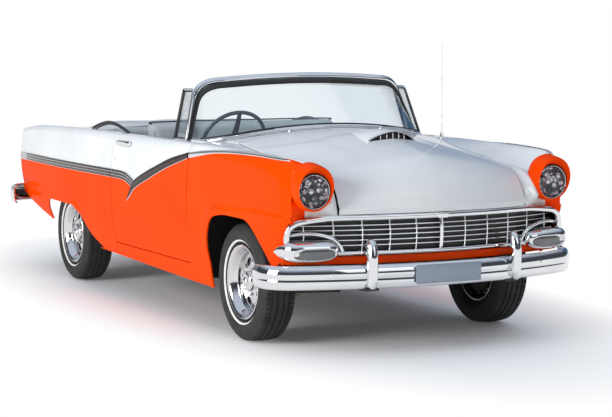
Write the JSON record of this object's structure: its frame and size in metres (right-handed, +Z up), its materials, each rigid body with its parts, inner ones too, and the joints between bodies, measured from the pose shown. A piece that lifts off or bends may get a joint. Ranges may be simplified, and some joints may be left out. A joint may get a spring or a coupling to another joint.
{
  "type": "classic convertible car",
  "caption": "Classic open-top car with wraparound windshield, folded soft top, swinging doors, hinged hood and trunk lid, steered front wheels and chrome trim.",
  "frame": {"origin": "on the ground under the middle of the car's length and width", "axes": "+Z up, -Y the way the car drives, +X the car's left side"},
  "size_m": [1.9322, 5.042, 1.6549],
  "materials": {
    "orange_paint": "gloss two-tone paint, lower colour",
    "white_paint": "gloss two-tone paint, upper colour",
    "chrome": "polished chrome plate",
    "glass": "clear laminated glass",
    "lamp_glass": "fluted lamp glass",
    "red_lens": "moulded red lens",
    "tyre_rubber": "black rubber with a narrow white wall",
    "chassis_black": "satin black chassis paint",
    "cast_iron": "cast and forged running gear",
    "plate": "blank painted plate",
    "trim_vinyl": "smooth pleated vinyl",
    "dark_trim": "dark moulded cabin trim",
    "top_cloth": "folded weatherproof cloth",
    "steel": "plain steel tube"
  },
  "bodies": {
    "body": {"chassis_frame": "chassis_black", "floor_pan": "chassis_black", "rear_floor": "chassis_black", "fender_left": "orange_paint", "fender_right": "orange_paint", "quarter_left": "orange_paint", "quarter_right": "orange_paint", "rockers": "orange_paint", "cowl": "white_paint", "side_trim": "trim_vinyl", "rear_deck": "white_paint", "tail_panel": "orange_paint", "grille": "chrome", "front_valance": "orange_paint", "front_bumper": "chrome", "rear_bumper": "chrome", "number_plates": "plate", "headlamp_bezels": "orange_paint", "headlamp_lenses": "lamp_glass", "parking_lamps": "chrome", "tail_lamps": "red_lens", "windshield_frame": "chrome", "windshield_glass": "glass", "dashboard": "dark_trim", "steering_column": "dark_trim", "front_seat": "trim_vinyl", "rear_seat": "trim_vinyl", "folded_top": "top_cloth", "engine": "cast_iron", "radiator": "chassis_black", "rear_axle": "cast_iron", "front_arms": "chassis_black", "exhaust": "steel", "fuel_tank": "chassis_black", "antenna": "chrome", "wipers": "chrome"},
    "hood": {"hood": "white_paint"},
    "trunk_lid": {"trunk_lid": "white_paint"},
    "door_left": {"door_left": "orange_paint", "door_fittings_left": "chrome"},
    "door_right": {"door_right": "orange_paint", "door_fittings_right": "chrome"},
    "steering_wheel": {"steering_wheel": "dark_trim"},
    "knuckle_left": {"knuckle_left": "cast_iron"},
    "knuckle_right": {"knuckle_right": "cast_iron"},
    "wheel_front_left": {"tyre_front_left": "tyre_rubber", "rim_front_left": "chrome"},
    "wheel_front_right": {"tyre_front_right": "tyre_rubber", "rim_front_right": "chrome"},
    "wheel_rear_left": {"tyre_rear_left": "tyre_rubber", "rim_rear_left": "chrome"},
    "wheel_rear_right": {"tyre_rear_right": "tyre_rubber", "rim_rear_right": "chrome"}
  },
  "joints": [
    {"name": "hood_hinge", "type": "hinge", "parent": "body", "child": "hood", "pos_m": [0, -1.2315, 1.14], "axis": [-1, 0, 0], "range_deg": [0, 55]},
    {"name": "trunk_hinge", "type": "hinge", "parent": "body", "child": "trunk_lid", "pos_m": [0, 1.4965, 1.06], "axis": [1, 0, 0], "range_deg": [0, 65]},
    {"name": "door_left_hinge", "type": "hinge", "parent": "body", "child": "door_left", "pos_m": [0.842, -1.105, 0.69], "axis": [0, 0, -1], "range_deg": [0, 65]},
    {"name": "door_right_hinge", "type": "hinge", "parent": "body", "child": "door_right", "pos_m": [-0.842, -1.105, 0.69], "axis": [0, 0, 1], "range_deg": [0, 65]},
    {"name": "steer_left", "type": "hinge", "parent": "body", "child": "knuckle_left", "pos_m": [0.64, -1.681, 0.33], "axis": [0, 0, 1], "range_deg": [-30, 30]},
    {"name": "steer_right", "type": "hinge", "parent": "body", "child": "knuckle_right", "pos_m": [-0.64, -1.681, 0.33], "axis": [0, 0, 1], "range_deg": [-30, 30]},
    {"name": "steering_turn", "type": "hinge", "parent": "body", "child": "steering_wheel", "pos_m": [-0.365, -0.52, 1.043], "axis": [0, 0.866, 0.5], "range_deg": [-480, 480]},
    {"name": "wheel_front_left_spin", "type": "hinge", "parent": "knuckle_left", "child": "wheel_front_left", "pos_m": [0.742, -1.681, 0.33], "axis": [1, 0, 0], "continuous": true},
    {"name": "wheel_front_right_spin", "type": "hinge", "parent": "knuckle_right", "child": "wheel_front_right", "pos_m": [-0.742, -1.681, 0.33], "axis": [1, 0, 0], "continuous": true},
    {"name": "wheel_rear_left_spin", "type": "hinge", "parent": "body", "child": "wheel_rear_left", "pos_m": [0.72, 1.253, 0.33], "axis": [1, 0, 0], "continuous": true},
    {"name": "wheel_rear_right_spin", "type": "hinge", "parent": "body", "child": "wheel_rear_right", "pos_m": [-0.72, 1.253, 0.33], "axis": [1, 0, 0], "continuous": true}
  ],
  "couplings": [
    {"joint": "steer_right", "follows": "steer_left", "ratio": 1},
    {"joint": "steering_turn", "follows": "steer_left", "ratio": 16}
  ]
}
